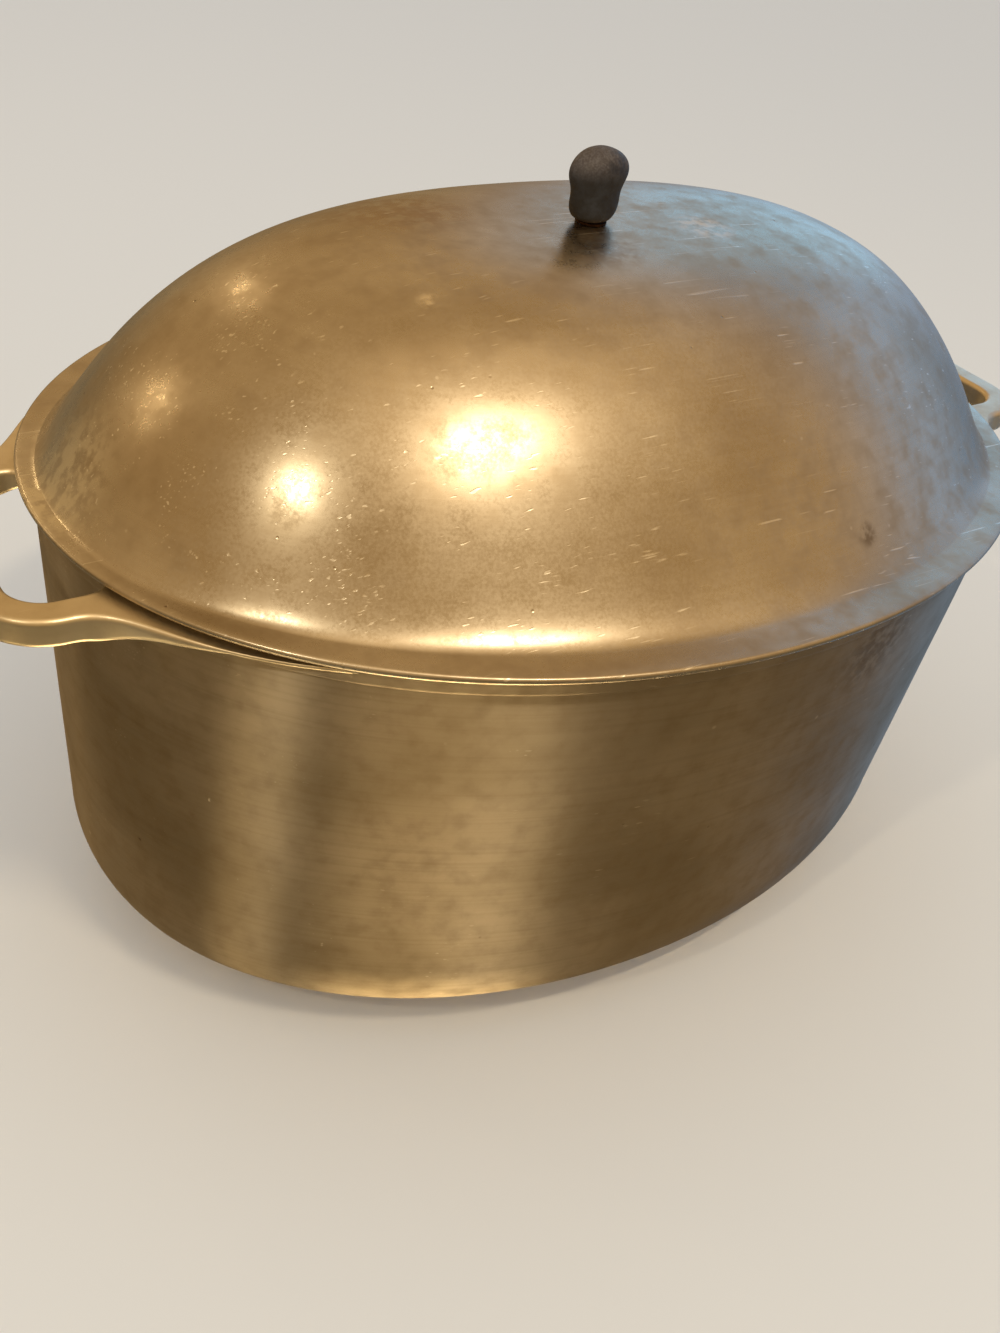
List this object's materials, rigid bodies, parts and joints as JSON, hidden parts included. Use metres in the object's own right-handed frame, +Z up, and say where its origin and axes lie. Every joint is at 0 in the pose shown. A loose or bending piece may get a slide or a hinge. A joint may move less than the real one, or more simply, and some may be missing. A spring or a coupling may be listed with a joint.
{
  "type": "oval roaster",
  "caption": "Deep oval pot with cast loop handles, a high domed lid with a small grip, and a loose perforated rack inside, for roasting and stewing.",
  "frame": {"origin": "middle of the flat base, on the surface the pot stands on", "axes": "+X along the long axis, handle to handle; +Y across; +Z up through the lid's grip"},
  "size_m": [0.46, 0.3046, 0.2887],
  "materials": {
    "pot_casting": "worn satin, turned marks running round the wall",
    "lid_casting": "worn polished, fine scratches and small pits",
    "rack_sheet": "dull, lightly stained",
    "grip": "dark moulded phenolic, worn brown on top",
    "aged_steel": "browned",
    "bright_steel": "plain",
    "brass": "plain"
  },
  "bodies": {
    "pot": {"pot": "pot_casting"},
    "lid": {"lid": "lid_casting", "knob_washer": "aged_steel", "knob_screw_washer": "bright_steel", "knob_lock_washer": "bright_steel"},
    "grip": {"knob": "grip", "knob_insert": "brass", "knob_screw": "bright_steel"},
    "rack": {"rack": "rack_sheet"}
  },
  "joints": [
    {"name": "lid_lift", "type": "slide", "parent": "pot", "child": "lid", "axis": [0, 0, 1], "range_m": [0, 0.22]},
    {"name": "grip_turn", "type": "hinge", "parent": "lid", "child": "grip", "pos_m": [0, 0, 0.2628], "axis": [0, 0, 1], "continuous": true},
    {"name": "rack_lift", "type": "slide", "parent": "pot", "child": "rack", "axis": [0, 0, 1], "range_m": [0, 0.14]}
  ]
}
